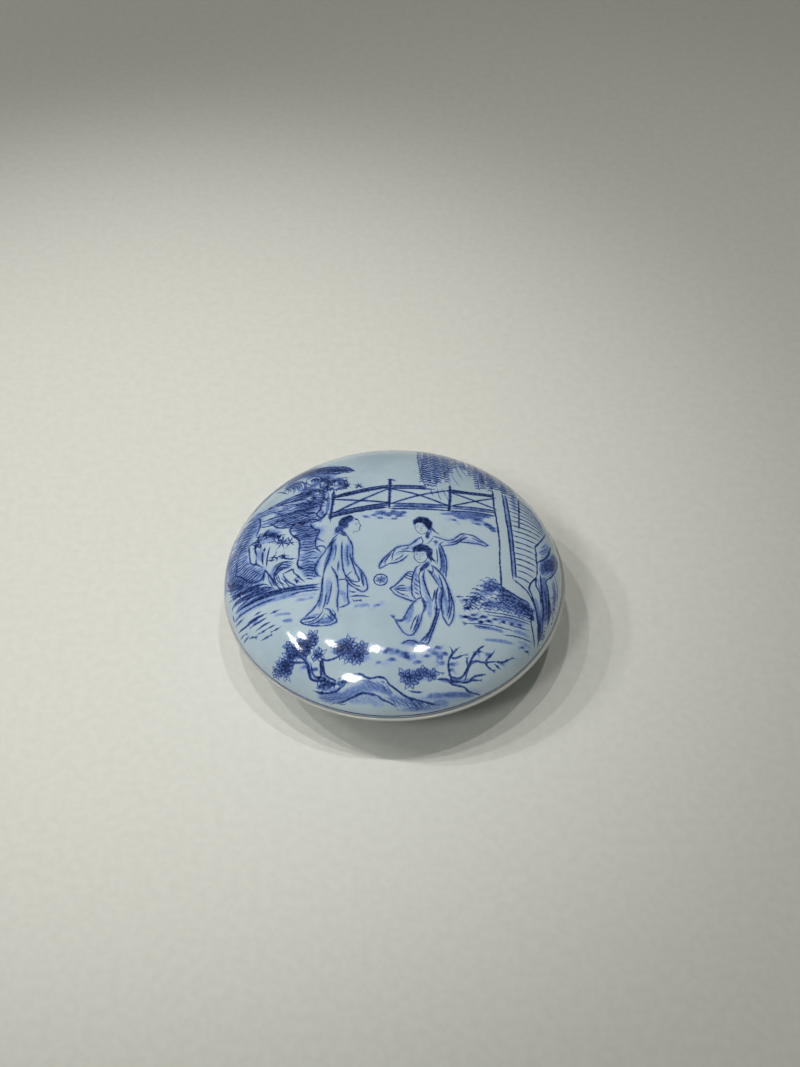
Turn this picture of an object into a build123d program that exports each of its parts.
"""Porcelain seal paste box: a low bun-shaped box with a foot ring, its domed cover and the paste it holds.

The cover is a thin shell whose straight socket drops over a flange that stands up inside the box's rim.
Both meet on flat bare seats. Millimetres, +Z up, origin at the middle of the foot ring's resting face.
"""
import os

from build123d import *

# Cover
cover_radius = 52.5
cover_rise = 19.7
cover_rim_wall = 3.2
cover_crown_wall = 3.4
cover_socket_depth = 4.8
cover_rim_round = 0.6
cover_socket_round = 0.4

# Box
seat_height = 22.6
seat_ledge = 0.6
box_rim_edge = 0.6
box_rim_round = 0.4
box_floor_wall = 3.8
box_floor_radius = 26.0
bowl_straight = 3.1
flange_height = 3.6
flange_wall = 2.3
flange_lean = 0.4
flange_round = 0.6
flange_root_round = 0.3

# Fit of the cover over the flange, and how far the cover has slipped to its left within that fit
flange_clearance = 0.7
cover_slip = 0.4

# Foot ring
foot_radius = 34.0
foot_height = 3.0
foot_wall = 3.8
foot_lean = 0.7
foot_recess = 2.5
foot_bevel = 0.6
foot_root_round = 0.8

# Seal paste
paste_gap = 0.35
paste_edge_height = 6.6
paste_crown_height = 11.4
paste_edge_round = 1.5

# Fullness of the curves, as shares of the radius and of the height that each one spans
cover_fullness_share = 0.6125
box_side_share = 0.42
box_tuck_share = 0.34
box_turn_share = 0.43
box_lift_share = 0.20
bowl_side_share = 0.24
bowl_turn_share = 0.46
paste_fullness_share = 0.50

# Places that follow from the sizes above
box_radius = cover_radius + seat_ledge
socket_radius = cover_radius - cover_rim_wall
flange_radius = socket_radius - flange_clearance
bowl_radius = flange_radius - flange_wall
flange_top = seat_height + flange_height
floor_height = foot_recess + box_floor_wall
bowl_shoulder = seat_height - bowl_straight

os.makedirs("parts", exist_ok=True)


def ring(piece, radius, height):
    """The round edge of a piece nearest to this radius and height."""
    rounds = piece.edges().filter_by(GeomType.CIRCLE)
    return rounds.sort_by(lambda edge: abs(edge.radius - radius) + abs(edge.center().Z - height))[0]


# Cover: a domed shell on a flat seat, with a straight socket inside its rim
cover_axis = Axis((-cover_slip, 0, seat_height), (0, 0, 1))
cover_plane = Plane(origin=(-cover_slip, 0, seat_height), x_dir=(1, 0, 0), z_dir=(0, -1, 0))
crown_inside = cover_rise - cover_crown_wall
dome_inside = crown_inside - cover_socket_depth

with BuildPart() as cover:
    with BuildSketch(cover_plane):
        with BuildLine():
            Bezier(
                (0, cover_rise),
                (cover_radius * cover_fullness_share, cover_rise),
                (cover_radius, cover_rise * cover_fullness_share),
                (cover_radius, 0),
            )
            Line((cover_radius, 0), (socket_radius, 0))
            Line((socket_radius, 0), (socket_radius, cover_socket_depth))
            Bezier(
                (socket_radius, cover_socket_depth),
                (socket_radius, cover_socket_depth + dome_inside * cover_fullness_share),
                (socket_radius * cover_fullness_share, crown_inside),
                (0, crown_inside),
            )
            Line((0, crown_inside), (0, cover_rise))
        make_face()
    revolve(axis=cover_axis)
    fillet(ring(cover, cover_radius, seat_height), radius=cover_rim_round)
    fillet(ring(cover, socket_radius, seat_height), radius=cover_socket_round)

cover.part.label = "cover"
export_step(cover.part, "parts/cover.step")

# Box: a bowl on a trimmed foot ring, with the flange that the cover drops over. Its wall turns in steeply
# under the rim, so that the cover hides it from above.
box_edge = seat_height - box_rim_edge
box_span = box_radius - foot_radius
box_depth = box_edge - foot_height
bowl_span = bowl_radius - box_floor_radius
bowl_depth = bowl_shoulder - floor_height

with BuildPart() as box:
    with BuildSketch(Plane.XZ):
        with BuildLine():
            Line((0, floor_height), (0, foot_recess))
            Line((0, foot_recess), (foot_radius - foot_wall, foot_recess))
            Line((foot_radius - foot_wall, foot_recess), (foot_radius - foot_wall, 0))
            Line((foot_radius - foot_wall, 0), (foot_radius - foot_lean, 0))
            Line((foot_radius - foot_lean, 0), (foot_radius, foot_height))
            Bezier(
                (foot_radius, foot_height),
                (foot_radius + box_span * box_turn_share, foot_height + box_depth * box_lift_share),
                (box_radius - box_span * box_tuck_share, box_edge - box_depth * box_side_share),
                (box_radius, box_edge),
            )
            Line((box_radius, box_edge), (box_radius, seat_height))
            Line((box_radius, seat_height), (flange_radius, seat_height))
            Line((flange_radius, seat_height), (flange_radius - flange_lean, flange_top))
            Line((flange_radius - flange_lean, flange_top), (bowl_radius, flange_top))
            Line((bowl_radius, flange_top), (bowl_radius, bowl_shoulder))
            Bezier(
                (bowl_radius, bowl_shoulder),
                (bowl_radius, bowl_shoulder - bowl_depth * bowl_side_share),
                (box_floor_radius + bowl_span * bowl_turn_share, floor_height),
                (box_floor_radius, floor_height),
            )
            Line((box_floor_radius, floor_height), (0, floor_height))
        make_face()
    revolve(axis=Axis.Z)
    fillet(ring(box, box_radius, seat_height), radius=box_rim_round)
    fillet(ring(box, flange_radius, seat_height), radius=flange_root_round)
    fillet(ring(box, flange_radius - flange_lean, flange_top), radius=flange_round)
    fillet(ring(box, bowl_radius, flange_top), radius=flange_round)
    chamfer(ring(box, foot_radius - foot_lean, 0), length=foot_bevel)
    chamfer(ring(box, foot_radius - foot_wall, 0), length=foot_bevel)
    fillet(ring(box, foot_radius, foot_height), radius=foot_root_round)
    fillet(ring(box, foot_radius - foot_wall, foot_recess), radius=foot_root_round)

box.part.label = "box"
export_step(box.part, "parts/box.step")

# Seal paste: a soft mound that rests on the bowl's floor and nearly fills the bowl from side to side
paste_radius = bowl_radius - paste_gap
paste_edge = floor_height + paste_edge_height
paste_crown = floor_height + paste_crown_height

with BuildPart() as seal_paste:
    with BuildSketch(Plane.XZ):
        with BuildLine():
            Line((0, floor_height), (box_floor_radius, floor_height))
            Bezier(
                (box_floor_radius, floor_height),
                (box_floor_radius + bowl_span * bowl_turn_share, floor_height + paste_gap),
                (paste_radius, bowl_shoulder - bowl_depth * bowl_side_share + paste_gap),
                (paste_radius, bowl_shoulder),
            )
            Line((paste_radius, bowl_shoulder), (0, bowl_shoulder))
            Line((0, bowl_shoulder), (0, floor_height))
        make_face()
        with BuildLine():
            Line((0, floor_height), (0, paste_crown))
            Bezier(
                (0, paste_crown),
                (paste_radius * paste_fullness_share, paste_crown),
                (paste_radius * paste_fullness_share, paste_edge),
                (paste_radius, paste_edge),
            )
            Line((paste_radius, paste_edge), (paste_radius, floor_height))
            Line((paste_radius, floor_height), (0, floor_height))
        make_face(mode=Mode.INTERSECT)
    revolve(axis=Axis.Z)
    fillet(ring(seal_paste, paste_radius, paste_edge), radius=paste_edge_round)

seal_paste.part.label = "seal_paste"
export_step(seal_paste.part, "parts/seal_paste.step")

print(f"box across {2 * box_radius:.1f} mm, height {seat_height + cover_rise:.1f} mm")
print(f"cover over flange, least gap {flange_clearance - cover_slip:.2f} mm")
